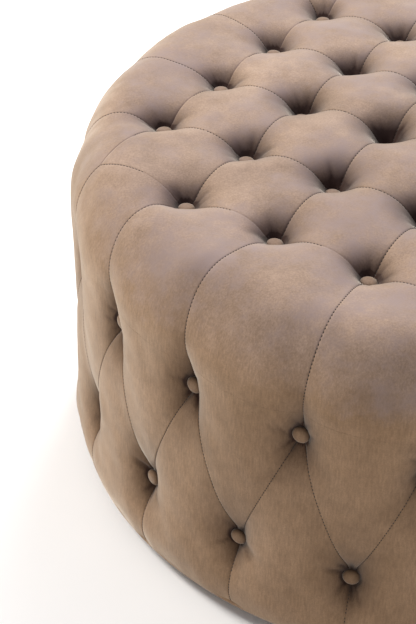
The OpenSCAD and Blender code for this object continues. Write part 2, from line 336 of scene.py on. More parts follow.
def graded_ticks():
    """Steps from a seam to a panel's middle: close together at the seam's groove."""
    steps = [6, 8, 16, 25, 33, 40, 45] + [827 / 15] * 15
    return np.concatenate([[0], np.cumsum(steps)]) / 1000


TICKS = graded_ticks()
N = len(TICKS)


def coons(near_u, near_v, far_u, far_v):
    """The grid of points inside four edges; near_u runs along u at v = 0, near_v along v at u = 0."""
    u, v = TICKS[:, None, None], TICKS[None, :, None]
    along = (1 - v) * near_u[:, None] + v * far_v[:, None]
    across = (1 - u) * near_v[None] + u * far_u[None]
    a, b, c, d = near_u[0], near_u[-1], near_v[-1], far_u[-1]
    flat = (1 - u) * (1 - v) * a + u * (1 - v) * b + (1 - u) * v * c + u * v * d
    return along + across - flat


class Net:
    """All panels as one welded mesh of quads, with what the solver and the seams need."""

    def __init__(self):
        self.points, self.normals, self.gap = [], [], []
        self.quads, self.runs = [], []
        count = 0
        grid = np.arange(N * N).reshape(N, N)
        cells = np.stack([grid[:-1, :-1], grid[1:, :-1], grid[1:, 1:], grid[:-1, 1:]], -1)
        cells = cells.reshape(-1, 4)
        for edges, seams, kind in panels():
            m = len(edges)
            middles = [e(np.array([0.5]))[0] for e in edges]
            centre = np.mean(middles, axis=0)
            for n in range(m):
                near_u, near_v = edges[n](TICKS / 2), edges[n - 1](1 - TICKS / 2)
                far_u = middles[n] + np.outer(TICKS, centre - middles[n])
                far_v = middles[n - 1] + np.outer(TICKS, centre - middles[n - 1])
                flat = coons(near_u, near_v, far_u, far_v).reshape(-1, 2)
                polar = plan_to_polar(flat) if kind == "plan" else flat
                p, normal = on_drum(polar)
                g = p.reshape(N, N, 3)
                far = np.full((N, N), 1.0)
                if seams[n]:
                    far = np.minimum(far, np.linalg.norm(g - g[:, :1], axis=2))
                    self.runs.append(count + grid[:, 0])
                if seams[n - 1]:
                    far = np.minimum(far, np.linalg.norm(g - g[:1], axis=2))
                self.points.append(p)
                self.normals.append(normal)
                self.gap.append(far.ravel())
                self.quads.append(cells + count)
                count += N * N
        self.weld()

    def weld(self):
        points = np.vstack(self.points)
        cell = np.floor(points / WELD_CELL + CELL_SHIFT).astype(np.int64)
        _, first, back = np.unique(cell, axis=0, return_index=True, return_inverse=True)
        back = back.ravel()
        gap = np.full(len(first), 1.0)
        np.minimum.at(gap, back, np.concatenate(self.gap))
        self.points = points[first]
        self.normals = np.vstack(self.normals)[first]
        self.gap = gap
        self.quads = back[np.vstack(self.quads)]
        self.runs = [back[r] for r in self.runs]


# ---- The membrane on foam -----------------------------------------------------------------

def cotangent_edges(points, quads):
    """Edges and weights of the surface Laplacian, each quad split both ways."""
    i, j, w = [], [], []
    area = np.zeros(len(points))
    for tri in ([0, 1, 2], [0, 2, 3], [0, 1, 3], [1, 2, 3]):
        t = quads[:, tri]
        p = points[t]
        cross = np.cross(p[:, 1] - p[:, 0], p[:, 2] - p[:, 0])
        double = np.maximum(np.linalg.norm(cross, axis=1), 1e-12)
        for n in range(3):
            a, b, c = t[:, n], t[:, (n + 1) % 3], t[:, (n + 2) % 3]
            pa, pb, pc = p[:, n], p[:, (n + 1) % 3], p[:, (n + 2) % 3]
            cot = np.einsum("ij,ij->i", pb - pa, pc - pa) / double
            i.append(b)
            j.append(c)
            w.append(np.clip(cot, 0.0, 20.0) / 4)
            np.add.at(area, a, double / 12)
    return np.concatenate(i), np.concatenate(j), np.concatenate(w), area


class Sparse:
    """A symmetric matrix of edge weights and a diagonal, for matrix by vector products."""

    def __init__(self, size, i, j, w, diagonal):
        rows, cols = np.concatenate([i, j]), np.concatenate([j, i])
        key, back = np.unique(rows * size + cols, return_inverse=True)
        weight = np.bincount(back.ravel(), np.concatenate([w, w]))
        self.rows, self.cols, self.weight = key // size, key % size, weight
        self.diagonal = diagonal + np.bincount(self.rows, weight, size)
        self.starts = np.searchsorted(self.rows, np.arange(size))

    def times(self, x):
        return self.diagonal * x - np.add.reduceat(self.weight * x[self.cols], self.starts)


def solve(matrix, right, free, x):
    """Conjugate gradients on the free entries, with the others held as they are in x."""
    scale = free / matrix.diagonal
    residue = free * (right - matrix.times(x))
    z = scale * residue
    step = z.copy()
    rho = residue @ z
    goal = rho * SOLVE_SHARE
    for _ in range(SOLVE_ROUNDS):
        q = free * matrix.times(step)
        alpha = rho / (step @ q)
        x += alpha * step
        residue -= alpha * q
        z = scale * residue
        fresh = residue @ z
        if fresh < goal:
            break
        step = z + (fresh / rho) * step
        rho = fresh
    return x


def seat_back(x, y):
    """Height of a seat button's back: it rises with the crown from the outermost ones."""
    outermost = SEAT_PITCH * math.hypot(2.5, 1.5)
    return SEAT_BACK_Z + BUTTON_RISE * (outermost**2 - x**2 - y**2) / SEAT_R**2


def button_places():
    """(back centre, outward direction, body) of every button, seat first."""
    out = []
    for i in np.arange(-2.5, 3):
        for j in np.arange(-2.5, 3):
            if abs(i) + abs(j) < 5:
                x, y = seat_spot(i, j)
                out.append((Vector((x, y, seat_back(x, y))), Vector((0, 0, 1)), "lid"))
    for half, z in ((0, UPPER_Z), (0.5, LOWER_Z)):
        for k in range(SIDE_COUNT):
            a = SIDE_STEP * (k + half)
            way = Vector((math.cos(a), math.sin(a), 0))
            out.append((SIDE_BACK_R * way + Vector((0, 0, z)), way, "drum"))
    return out


BUTTONS = button_places()


def from_axis(net, back, way):
    """How far each point lies out from a button's back along its axis, and from the axis."""
    way = np.array(way)
    away = net.points - np.array(back)
    out = away @ way
    return out, np.linalg.norm(away - np.outer(out, way), axis=1)


def tufted_height(net):
    """How far each point of the net lies outside the smooth drum."""
    size = len(net.points)
    i, j, w, area = cotangent_edges(net.points, net.quads)
    seam_i = np.concatenate([r[:-1] for r in net.runs])
    seam_j = np.concatenate([r[1:] for r in net.runs])
    length = np.linalg.norm(net.points[seam_i] - net.points[seam_j], axis=1)
    length = np.maximum(length, WELD_CELL)
    seatward = np.clip((net.points[:, 2] - RIM_MIDDLE_Z) / (ROLL_H / 2), 0, 1)
    seatward = seatward**2 * (3 - 2 * seatward)

    def between(side, seat):
        return side + (seat - side) * seatward

    # A run is met from both of its panels, so each side brings half the seam's tension
    i, j = np.concatenate([i, seam_i]), np.concatenate([j, seam_j])
    pull = between(SIDE_SEAM_PULL, SEAT_SEAM_PULL)[seam_i]
    w = np.concatenate([w, 0.5 * pull / length])
    puff, drop = between(SIDE_PUFF, SEAT_PUFF), between(SIDE_DROP, SEAT_DROP)
    foam = area / between(SIDE_REACH, SEAT_REACH) ** 2
    # Solved for the share of the drop, bent afterwards so that each panel has a full shoulder
    right = np.zeros(size)
    tuck = 0.25 * SEAM_TUCK / SIDE_REACH * length / SIDE_DROP
    np.add.at(right, seam_i, tuck)
    np.add.at(right, seam_j, tuck)
    share = np.zeros(size)
    free = np.ones(size)
    for back, way, _ in BUTTONS:
        out, side = from_axis(net, back, way)
        near = (side < BUTTON_R * HOLD) & (out > 0) & (out < NEAR_BACK)
        share[near] = ((out[near] + puff[near]) / drop[near]) ** (1 / SHOULDER)
        free[near] = 0
    hem = net.points[:, 2] < EDGE_Z + HEM_R + WELD_CELL
    turn = np.arctan2(net.points[hem, 1], net.points[hem, 0]) / SIDE_STEP - 0.5
    dip = HEM_DIP * np.exp(-(((turn - np.round(turn)) / HEM_DIP_W) ** 2))
    share[hem] = ((dip + puff[hem]) / drop[hem]) ** (1 / SHOULDER)
    free[hem] = 0
    share = solve(Sparse(size, i, j, w, foam), right, free, share)
    return puff - drop * np.maximum(share, 0) ** SHOULDER


def smooth_noise(points, scale, seed):
    """A sum of a few soft plane waves of about that wavelength, between about -1 and 1."""
    rng = np.random.default_rng(seed)
    total = np.zeros(len(points))
    for _ in range(9):
        way = rng.normal(size=3)
        way *= 2 * math.pi / (scale * rng.uniform(0.75, 1.4)) / np.linalg.norm(way)
        total += np.sin(points @ way + rng.uniform(0, 2 * math.pi))
    return total / 4


def button_distance(net):
    """Distance from each point to the nearest button's axis."""
    nearest = np.full(len(net.points), 1.0)
    for back, way, _ in BUTTONS:
        out, side = from_axis(net, back, way)
        nearest = np.minimum(nearest, np.where(np.abs(out) < NEAR_BACK, side, 1.0))
    return nearest


def pleats(net):
    """Small creases that fan out from each button, between its seams."""
    rng = np.random.default_rng(PLEAT_SEED)
    total = np.zeros(len(net.points))
    for back, way, _ in BUTTONS:
        side_a = way.orthogonal().normalized()
        side_b = way.cross(side_a)
        away = net.points - np.array(back)
        a, b = away @ np.array(side_a), away @ np.array(side_b)
        distance = np.hypot(a, b)
        near = (distance < PLEAT_FIELD) & (np.abs(away @ np.array(way)) < NEAR_BACK)
        angle = np.arctan2(b[near], a[near])
        d = distance[near]
        folds = np.zeros(len(d))
        for _ in range(PLEAT_COUNT):
            turn = np.angle(np.exp(1j * (angle - rng.uniform(-math.pi, math.pi))))
            middle = rng.uniform(*PLEAT_MIDDLE) * MM
            reach = rng.uniform(*PLEAT_REACH) * MM
            width = rng.uniform(*PLEAT_W)
            size = rng.uniform(*PLEAT_SIZE) * MM
            folds -= size * np.exp(-((turn / width) ** 2) - ((d - middle) / reach) ** 2)
        total[near] += folds * (SEAT_PLEATS if way.z > 0.5 else 1.0)
    return total * np.clip(net.gap / PLEAT_CALM, 0, 1)


def tufted_points(net):
    """The net's points on the tufted surface, and how dark its crushed pile and painted shade are at
    each.
    """
    height = tufted_height(net)
    reach = button_distance(net)
    crease = np.exp(-net.gap / CREASE_W) * np.exp(-((reach / CREASE_REACH) ** 2))
    crease *= np.clip((reach - BUTTON_R) / CREASE_START, 0, 1)
    folds = pleats(net)
    height += folds - CREASE_DEPTH * crease
    groove = -GROOVE_DEPTH * np.exp(-((net.gap / GROOVE_W) ** 2))
    soft = sum(high * smooth_noise(net.points, long, seed) for high, long, seed in WAVES)
    soft *= np.clip(net.gap / WAVE_CALM, 0, 1)
    # Painted shade: dark deep in the pits, in a ring round each button and in the pleats' creases
    crush_and_shade = np.clip(-height / CRUSH_SHADE_DROP, 0, 1)
    crush_and_shade += RING_SHADE * np.exp(-(((reach - BUTTON_R) / RING_SHADE_W) ** 2))
    crush_and_shade += FOLD_SHADE * np.clip(-folds / FOLD_SHADE_FULL, 0, 1)
    return net.points + net.normals * (height + groove + soft)[:, None], crush_and_shade


net = Net()
surface, crush_and_shade = tufted_points(net)


# ---- Covers -------------------------------------------------------------------------------

def new_object(name, mesh):
    obj = bpy.data.objects.new(name, mesh)
    bpy.context.scene.collection.objects.link(obj)
    return obj


def mesh_from(name, points, faces):
    mesh = bpy.data.meshes.new(name)
    mesh.from_pydata([tuple(p) for p in points], [], [tuple(f) for f in faces])
    mesh.update()
    return mesh


def set_smooth(mesh):
    mesh.polygons.foreach_set("use_smooth", [True] * len(mesh.polygons))
    mesh.update()


def set_fields(mesh, **fields):
    """Stores a number for each point of a mesh, for its material to read."""
    for name, values in fields.items():
        mesh.attributes.new(name, "FLOAT", "POINT").data.foreach_set("value", values)


def band(start, rows, sides):
    """The quads of a closed band of rings, whose points follow one another from start."""
    faces = []
    for row in range(rows - 1):
        for k in range(sides):
            a, b = start + row * sides + k, start + row * sides + (k + 1) % sides
            faces.append((a, b, b + sides, a + sides))
    return faces


def finished(name, mesh, body, nodes=()):
    """An object that rides on a body and stands for the CAD nodes that it hides."""
    obj = new_object(name, mesh)
    if nodes:
        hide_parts(*nodes)
    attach(obj, body)
    return obj


def pull_loop(bm, edges, place):
    """Extrudes a boundary loop once and puts each new vertex where place says."""
    new = bmesh.ops.extrude_edge_only(bm, edges=edges)["geom"]
    verts = [g for g in new if isinstance(g, bmesh.types.BMVert)]
    for v in verts:
        v.co = place(v.co.copy())
    return [g for g in new if isinstance(g, bmesh.types.BMEdge) and g.is_boundary]


def radius(co):
    return math.hypot(co.x, co.y)


def to_radius(co, r, z):
    k = r / radius(co)
    return Vector((co.x * k, co.y * k, z))


def is_level(part, z):
    return all(abs(v.co.z - z) < LEVEL for v in part.verts)


def turned_in(bm, edges, up, flange_z, flange_r):
    """Rolls a cut edge over its lip and runs it in as a flat flange."""
    for step, rise in ((0.12, 0.40), (0.35, 0.70), (0.7, 0.92)):
        edges = pull_loop(bm, edges, lambda co: to_radius(
            co, radius(co) - step * LIP / 2, co.z + up * rise * LIP / 2))
    for share in (0.04, 0.2, 0.6, 0.97, 1.0):
        edges = pull_loop(bm, edges, lambda co: to_radius(
            co, radius(co) + share * (flange_r - radius(co)), flange_z))
    return edges


def slope(points, quads):
    """Painted light and shade: how far each point of the tufted surface is tipped toward the shaded
    way, from 0 to 1 with 0.5 level.
    """
    a, b, c, d = (points[quads[:, k]] for k in range(4))
    face = np.cross(c - a, d - b)
    normal = np.zeros_like(points)
    for k in range(4):
        np.add.at(normal, quads[:, k], face)
    normal /= np.linalg.norm(normal, axis=1)[:, None]
    normal *= np.sign(np.sum(normal * net.normals, axis=1))[:, None]
    flat = np.clip(SIDE_SHADE_FADE * net.normals[:, 2], 0, 1)
    return 0.5 + 0.5 * flat * ((normal - net.normals) @ SHADED_WAY)


def cover(name, body, keep_above):
    """The part of the net above or below the parting line, with its edges turned in."""
    mesh = mesh_from(name, surface, net.quads)
    # The fields paint the velvet: paler upward and front faces as a painted sheen, painted light and
    # shade on the seat's slopes, and crushed pile with painted shade in pits, rings and pleats
    lay = np.clip(net.normals[:, 2], 0, 1) * (SHEEN_LAY_MIDDLE + SHEEN_LAY_SPAN * net.normals @ NAP_SHEEN_WAY)
    set_fields(mesh, depth=crush_and_shade, lay=lay, lean=slope(surface, net.quads))
    bm = bmesh.new()
    bm.from_mesh(mesh)
    z = SPLIT_Z + (LIP + JOIN_GAP) * (1 if keep_above else -1)
    geom = bm.verts[:] + bm.edges[:] + bm.faces[:]
    bmesh.ops.bisect_plane(bm, geom=geom, dist=CUT_DIST, plane_co=(0, 0, z), plane_no=(0, 0, 1),
                           clear_outer=not keep_above, clear_inner=keep_above)
    edges = [e for e in bm.edges if e.is_boundary and is_level(e, z)]
    for edge in edges:
        edge.smooth = False
    if keep_above:
        turned_in(bm, edges, -1, LID_Z, FLANGE_R)
        cut_for_leaves(bm, LID_Z)
    else:
        edges = turned_in(bm, edges, 1, BODY_TOP_Z, TUB_R + INNER_ROLL)
        for a in np.radians((20, 40, 60, 80, 90)):
            r = TUB_R + INNER_ROLL * (1 - math.sin(a))
            z_to = BODY_TOP_Z - INNER_ROLL * (1 - math.cos(a))
            edges = pull_loop(bm, edges, lambda co: to_radius(co, r, z_to))
        wall_z = BODY_TOP_Z - INNER_ROLL
        for share in (0.1, 0.5, 1.0):
            z_to = wall_z + share * (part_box("top_ring")[0][2] - wall_z)
            edges = pull_loop(bm, edges, lambda co: to_radius(co, TUB_R, z_to))
        cut_for_leaves(bm, BODY_TOP_Z)
        roll_hem(bm)
    keep_out_of_hinges(bm)
    bmesh.ops.recalc_face_normals(bm, faces=bm.faces)
    bm.to_mesh(mesh)
    bm.free()
    set_smooth(mesh)
    part = "lid" if keep_above else "body"
    layers = [part + "_cover", part + "_batting", part + "_foam"]
    obj = finished(name, mesh, body, layers)
    return obj


def roll_hem(bm):
    """Turns the cover's lower edge under the base."""
    top = min(v.co.z for v in bm.verts) + 2 * HEM_R
    edges = [e for e in bm.edges if e.is_boundary and max(v.co.z for v in e.verts) < top]
    base_r = DRUM_R - TOE_IN + HEM_R
    for a in np.radians((22, 45, 67, 90)):
        r = base_r - HEM_R * (1 - math.cos(a))
        z = EDGE_Z + HEM_R * (1 - math.sin(a))
        edges = pull_loop(bm, edges, lambda co: to_radius(co, r, z))
    for r in (0.97 * base_r, 0.9 * base_r, TUB_R):
        edges = pull_loop(bm, edges, lambda co: to_radius(co, r, EDGE_Z))


def cut_for_leaves(bm, flange_z):
    """Cuts the hinge leaves' pockets out of a flange."""
    leaf_lo, leaf_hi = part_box("hinge_body_leaves")
    half = leaf_hi[0] - HINGE_X + POCKET_PLAY
    front = leaf_lo[1] - POCKET_PLAY

    def in_flange(face, side):
        reaches = max(v.co.y for v in face.verts) > front + LEVEL
        return is_level(face, flange_z) and reaches and face.calc_center_median().x * side > 0

    for side in (-1, 1):
        x = side * HINGE_X
        cuts = [((x - half, 0, 0), (1, 0, 0)), ((x + half, 0, 0), (1, 0, 0)),
                ((0, front, 0), (0, 1, 0))]
        for place, way in cuts:
            faces = [f for f in bm.faces if in_flange(f, side)]
            parts = dict.fromkeys(g for f in faces for g in (*f.verts, *f.edges))
            bmesh.ops.bisect_plane(bm, geom=faces + list(parts), dist=CUT_DIST, plane_co=place,
                                   plane_no=way)
        inside = []
        for f in bm.faces:
            middle = f.calc_center_median()
            if in_flange(f, side) and abs(middle.x - x) < half and middle.y > front:
                inside.append(f)
        bmesh.ops.delete(bm, geom=inside, context="FACES")


def keep_out_of_hinges(bm):
    """Presses the cover in round the hinge knuckles."""
    pin_y = (hinge_lo[1] + hinge_hi[1]) / 2
    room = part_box("hinge_body_leaves")[1][0] + KNUCKLE_PLAY
    for v in bm.verts:
        inside = abs(v.co.x) < room and v.co.y > pin_y - KNUCKLE_REACH
        if inside and abs(v.co.z - SPLIT_Z) < KNUCKLE_R:
            v.co.y = min(v.co.y, pin_y - KNUCKLE_R)


seat_cover = cover("lid_cover_tufted", "lid", True)
side_cover = cover("body_cover_tufted", "drum", False)


# ---- Buttons ------------------------------------------------------------------------------

def lathe(points, faces, origin, way, section):
    """Adds a turned shape to lists of points and faces, its axis along way."""
    start = len(points)
    side_a = way.orthogonal().normalized()
    side_b = way.cross(side_a)
    for r, z in section:
        for k in range(BUTTON_SIDES):
            a = 2 * math.pi * k / BUTTON_SIDES
            points.append(origin + way * z + side_a * (r * math.cos(a)) + side_b * (r * math.sin(a)))
    faces += band(start, len(section), BUTTON_SIDES)
    top = len(points) - BUTTON_SIDES
    points.append(origin + way * section[-1][1])
    for k in range(BUTTON_SIDES):
        faces.append((top + k, top + (k + 1) % BUTTON_SIDES, len(points) - 1))


def button_section():
    """A covered button: a drawn-in back edge, a tight round shoulder and a low dome."""
    r, t = BUTTON_R, BUTTON_T
    section = [(0.72 * r, -1.0 * MM), (0.90 * r, 0.0), (0.975 * r, 0.14 * t), (r, 0.34 * t)]
    for a in np.radians((12, 25, 38, 50, 60, 69, 77, 84)):
        dome = 0.34 * t + 0.66 * t * math.sin(a) ** 1.1
        section.append((r * math.cos(a) ** 0.62, dome))
    return section


def buttons(name, body, nodes):
    points, faces = [], []
    rng = np.random.default_rng(BUTTON_SEED)
    section = button_section()
    for origin, way, owner in BUTTONS:
        tilt = Vector(rng.normal(size=3) * BUTTON_TILT)
        if owner == body:
            lathe(points, faces, origin, (way + tilt).normalized(), section)
    mesh = mesh_from(name, points, faces)
    set_smooth(mesh)
    # Painted shade on the buttons: all a little dark and darkest at the skirt; the seat buttons are
    # also painted partly paler as a painted sheen
    skirt = np.repeat([1 - max(z, 0) / BUTTON_T for _, z in section], BUTTON_SIDES)
    skirts = np.tile(np.append(skirt, 0), len(points) // (len(skirt) + 1))
    shade = BUTTON_SHADE + SKIRT_SHADE * skirts
    button_lay_sheen = np.full(len(points), LID_BUTTON_SHEEN if body == "lid" else 0.0)
    set_fields(mesh, depth=shade, lay=button_lay_sheen, lean=np.full(len(points), 0.5))
    return finished(name, mesh, body, nodes)


seat_button_look = buttons("seat_buttons_covered", "lid", ["seat_buttons"])
side_button_look = buttons("side_buttons_covered", "drum",
                           ["upper_side_buttons", "lower_side_buttons"])


# ---- Stitches -----------------------------------------------------------------------------

def stitch_lines():
    """Every seam's points once, with the surface's normals, from one end to the other."""
    seen, lines = set(), []
    for run in net.runs:
        key = (min(run[0], run[-1]), max(run[0], run[-1]))
        if key not in seen:
            seen.add(key)
            lines.append((surface[run], net.normals[run]))
    return lines


def stitches(name, body, keep):
    """Short raised threads along every seam whose place keep accepts."""
    turn = 2 * np.pi * np.arange(STITCH_SIDES) / STITCH_SIDES
    profile = [(-0.5, 0.0), (-0.38, 0.8), (0.0, 1.0), (0.38, 0.8), (0.5, 0.0)]
    points, faces = [], []
    for line, normals in stitch_lines():
        step = np.linalg.norm(np.diff(line, axis=0), axis=1)
        length = np.concatenate([[0], np.cumsum(step)])

        def at(s, values):
            return np.array([np.interp(s, length, values[:, k]) for k in range(3)])

        for s in np.arange(STITCH_PITCH / 2, length[-1], STITCH_PITCH):
            p = at(s, line)
            if not keep(p):
                continue
            n = at(s, normals)
            t = at(s + 1 * MM, line) - at(s - 1 * MM, line)
            t /= np.linalg.norm(t)
            n -= t * (n @ t)
            n /= np.linalg.norm(n)
            b = np.cross(t, n)
            centre = p + n * STITCH_LIFT
            start = len(points)
            for along, wide in profile:
                c = centre + t * along * STITCH_L
                for a in turn:
                    points.append(c + STITCH_R * wide * (n * math.cos(a) + b * math.sin(a)))
            faces += band(start, len(profile), STITCH_SIDES)
    mesh = mesh_from(name, points, faces)
    set_smooth(mesh)
    return finished(name, mesh, body)


seat_stitches = stitches("seat_stitches", "lid", lambda p: p[2] > LID_Z + 2 * MM)
side_stitches = stitches("side_stitches", "drum", lambda p: p[2] < BODY_TOP_Z - 2 * MM)


# ---- Linings and staples --------------------------------------------------------------------

def ring_grid(radii, heights, sides):
    """A closed grid of rings, and its faces. Each height is a function of angle and radius."""
    angle = 2 * np.pi * np.arange(sides) / sides
    points = []
    for r, z in zip(radii, heights):
        radius = r(angle) if callable(r) else np.full(sides, r)
        height = z(angle, radius) if callable(z) else np.full(sides, z)
        points.append(np.column_stack([radius * np.cos(angle), radius * np.sin(angle), height]))
    return np.vstack(points), band(0, len(points), sides)


def closed_middle(points, faces, sides):
    """Fills the first ring of a grid with a fan."""
    fan = [(len(points), (k + 1) % sides, k) for k in range(sides)]
    return np.vstack([points, points[:sides].mean(axis=0)]), faces + fan


def cloth_piece(name, points, faces, body, node, thick):
    """A lining of some thickness, standing for its CAD node."""
    mesh = mesh_from(name, points, faces)
    set_smooth(mesh)
    obj = finished(name, mesh, body, [node])
    shell = obj.modifiers.new("thickness", "SOLIDIFY")
    shell.thickness = thick
    shell.offset = 0
    return obj


def stapled_disc(name, body, node):
    """A disc of lining under a board: a folded edge that scallops between its staples."""
    lo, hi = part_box(node)
    edge_r = hi[0]
    staple_r = edge_r - STAPLE_INSET
    turns = int(round(2 * math.pi * staple_r / STAPLE_PITCH))
    sides = turns * 6

    def scallop(angle):
        return edge_r - 0.2 * MM - 1.6 * MM * np.abs(np.sin(angle * turns / 2)) ** 1.5

    def slack(angle, r):
        """Cloth hangs a little between its staples and has faint creases running in from them."""
        near = np.exp(-((edge_r - r) / (35 * MM)))
        sag = 0.10 * MM * (1 - (r / edge_r) ** 2)
        crease = 0.22 * MM * near * np.cos(angle * turns)
        return lo[2] - (sag + crease - 0.25 * MM)

    def folded(angle, r):
        return slack(angle, r) - 0.30 * MM

    radii = [0.5 * MM] + [edge_r * k / 16 for k in range(1, 15)]
    radii += [edge_r - HEM_W - 12 * MM, edge_r - HEM_W - 4 * MM, edge_r - HEM_W - 0.3 * MM]
    heights = [slack] * len(radii)
    radii += [edge_r - HEM_W, edge_r - HEM_W + 0.8 * MM, staple_r, edge_r - 3 * MM, scallop]
    heights += [folded] * 5
    points, faces = closed_middle(*ring_grid(radii, heights, sides), sides)
    obj = cloth_piece(name, points, faces, body, node, DISC_T)
    return obj, staple_r, turns, lo[2] - 0.35 * MM


def staples(name, body, r, turns, z):
    """Wire staples on a circle, each a flat crown with its two legs bent up into the board."""
    up = np.array([0, 0, 1.0])
    points, faces = [], []
    for k in range(turns):
        angle = 2 * math.pi * (k + 0.5) / turns
        tangent = np.array([-math.sin(angle), math.cos(angle), 0])
        outward = np.array([math.cos(angle), math.sin(angle), 0])
        centre = outward * r + up * z
        start = len(points)
        for along, rise in STAPLE_ROUTE:
            middle = centre + tangent * along * STAPLE_W + up * rise
            thin = (tangent if along > 0 else -tangent) if rise > 0 else up
            for a, b in ((1, 1), (-1, 1), (-1, -1), (1, -1)):
                points.append(middle + outward * a * STAPLE_FLAT - thin * b * STAPLE_WIRE / 2)
        faces += band(start, len(STAPLE_ROUTE), 4)
        for end in (start, len(points) - 4):
            faces.append(tuple(end + q for q in range(4)))
    return finished(name, mesh_from(name, points, faces), body)


def tub_wall_lining():
    """The tub's cloth wall: four widths seamed together, gathered a little under the rim."""
    lo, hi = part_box("tub_lining")

    def wrinkled(angle, z):
        share = (z - lo[2]) / (hi[2] - lo[2])
        phase = angle * WALL_WIDTHS / (2 * math.pi)
        seam = np.abs(phase - np.round(phase)) * 2 * math.pi * TUB_R / WALL_WIDTHS
        spots = np.column_stack([np.cos(angle) * TUB_R, np.sin(angle) * TUB_R, np.full_like(angle, z)])
        soft = 1.1 * MM * (1 + smooth_noise(spots * np.array([1, 1, 0.45]), 120 * MM, 8) * 0.6)
        gather = 0.5 * MM * math.exp((share - 1) * 9) * (1 + np.cos(angle * 96))
        tuck = 1.3 * MM * np.exp(-((seam / (3 * MM)) ** 2))
        pinned = min(1.0, 6 * share, 8 * (1 - share) + 0.15)
        return TUB_R + 0.4 * MM - soft * pinned - gather + tuck * pinned

    heights = [lo[2] + (hi[2] - lo[2]) * k / WALL_ROWS for k in range(WALL_ROWS + 1)]
    radii = [lambda angle, z=z: wrinkled(angle, z) for z in heights]
    points, faces = ring_grid(radii, heights, WALL_SIDES)
    obj = cloth_piece("tub_wall_lining", points, faces, "drum", "tub_lining", LINING_T)
    return obj


def tub_floor_cloth():
    """The tub's floor cloth: thinly quilted by a sewn ring, turned down where it meets the wall."""
    top_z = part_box("tub_floor_lining")[1][2]
    edge_r = TUB_R + 0.3 * MM
    ring_r = edge_r - 32 * MM

    def loft(angle, r):
        spots = np.column_stack([np.cos(angle) * r, np.sin(angle) * r, np.zeros_like(angle)])
        swell = 1.1 * MM * (1 - np.exp(-np.abs(r - ring_r) / (7 * MM)))
        swell *= np.clip((edge_r - r) / (6 * MM), 0, 1)
        return top_z - 0.3 * MM + swell * (1 + 0.25 * smooth_noise(spots, 90 * MM, 9))

    radii = [0.5 * MM] + [ring_r * k / 24 for k in range(1, 23)]
    radii += [ring_r + d * MM for d in (-12, -8, -5, -3, -1.5, -0.6, 0, 0.6, 1.5, 3, 5, 8, 12)]
    radii += [ring_r + d * MM for d in (18, 24, 28, 30)] + [edge_r]
    points, faces = closed_middle(*ring_grid(radii, [loft] * len(radii), FLOOR_SIDES), FLOOR_SIDES)
    obj = cloth_piece("tub_floor_cloth", points, faces, "drum", "tub_floor_lining", FLOOR_T)
    return obj


def board_linings():
    """The cloths stapled under the lid and under the base."""
    made, metal = [], []
    for name, body, node, board in (("lid_lining_cloth", "lid", "lid_lining", "lid_panel"),
                                    ("base_dust_cloth", "drum", "dust_cover", "base_board")):
        obj, r, turns, z = stapled_disc(name, body, node)
        made.append(obj)
        metal.append(staples(name.replace("cloth", "staples"), body, r, turns, z))
    return made, metal


wall_lining = tub_wall_lining()
floor_cloth = tub_floor_cloth()
board_cloths, board_staples = board_linings()


# ---- Materials ----------------------------------------------------------------------------

class Nodes:
    """A small helper that adds shader nodes and links them by socket name."""

    def __init__(self, name):
        self.material = bpy.data.materials.new(name)
        self.material.use_nodes = True
        self.tree = self.material.node_tree
        self.shader = self.tree.nodes["Principled BSDF"]

    def add(self, kind, settings=None, **inputs):
        node = self.tree.nodes.new("ShaderNode" + kind)
        for key, value in (settings or {}).items():
            setattr(node, key, value)
        for key, value in inputs.items():
            self.set(node, key.replace("_", " "), value)
        return node

    def set(self, node, socket, value):
        target = node.inputs[int(socket)] if socket.isdigit() else node.inputs[socket]
        if isinstance(value, bpy.types.NodeSocket):
            self.tree.links.new(value, target)
        else:
            target.default_value = value

    def shade(self, **inputs):
        for key, value in inputs.items():
            self.set(self.shader, key.replace("_", " "), value)

    def ramp(self, factor, *stops):
        node = self.add("ValToRGB")
        self.tree.links.new(factor, node.inputs["Fac"])
        elements = node.color_ramp.elements
        while len(elements) < len(stops):
            elements.new(0.5)
        for element, (place, colour) in zip(elements, stops):
            element.position = place
            element.color = (*colour, 1)
        return node.outputs["Color"]

    def greys(self, factor, *stops):
        return self.ramp(factor, *((place, (value,) * 3) for place, value in stops))

    def math(self, operation, *values):
        node = self.add("Math", {"operation": operation})
        for n, value in enumerate(values):
            self.set(node, str(n), value)
        return node.outputs["Value"]

    def mix(self, factor, a, b, kind="MIX"):
        node = self.add("Mix", {"data_type": "RGBA", "blend_type": kind})
        self.set(node, "0", factor)
        for socket, colour in (("6", a), ("7", b)):
            linked = isinstance(colour, bpy.types.NodeSocket)
            self.set(node, socket, colour if linked else (*colour, 1))
        return node.outputs[2]

    def tint(self, share, colour, factor, *stops, kind="MIX"):
        return self.mix(share, colour, self.ramp(factor, *stops), kind)

    def place(self, scale=(1, 1, 1)):
        place = self.add("TexCoord").outputs["Object"]
        return self.add("Mapping", None, Vector=place, Scale=scale).outputs["Vector"]

    def wave(self, axis, scale, distortion, **inputs):
        return self.add("TexWave", {"bands_direction": axis}, Vector=self.place(), Scale=scale,
                        Distortion=distortion, **inputs).outputs["Fac"]

    def noise(self, vector, scale, detail=3.0, roughness=0.5):
        return self.add("TexNoise", None, Vector=vector, Scale=scale, Detail=detail,
                        Roughness=roughness).outputs["Fac"]

    def bump(self, height, distance, strength=1.0, normal=None):
        node = self.add("Bump", None, Height=height, Distance=distance, Strength=strength)
        if normal is not None:
            self.tree.links.new(normal, node.inputs["Normal"])
        return node.outputs["Normal"]


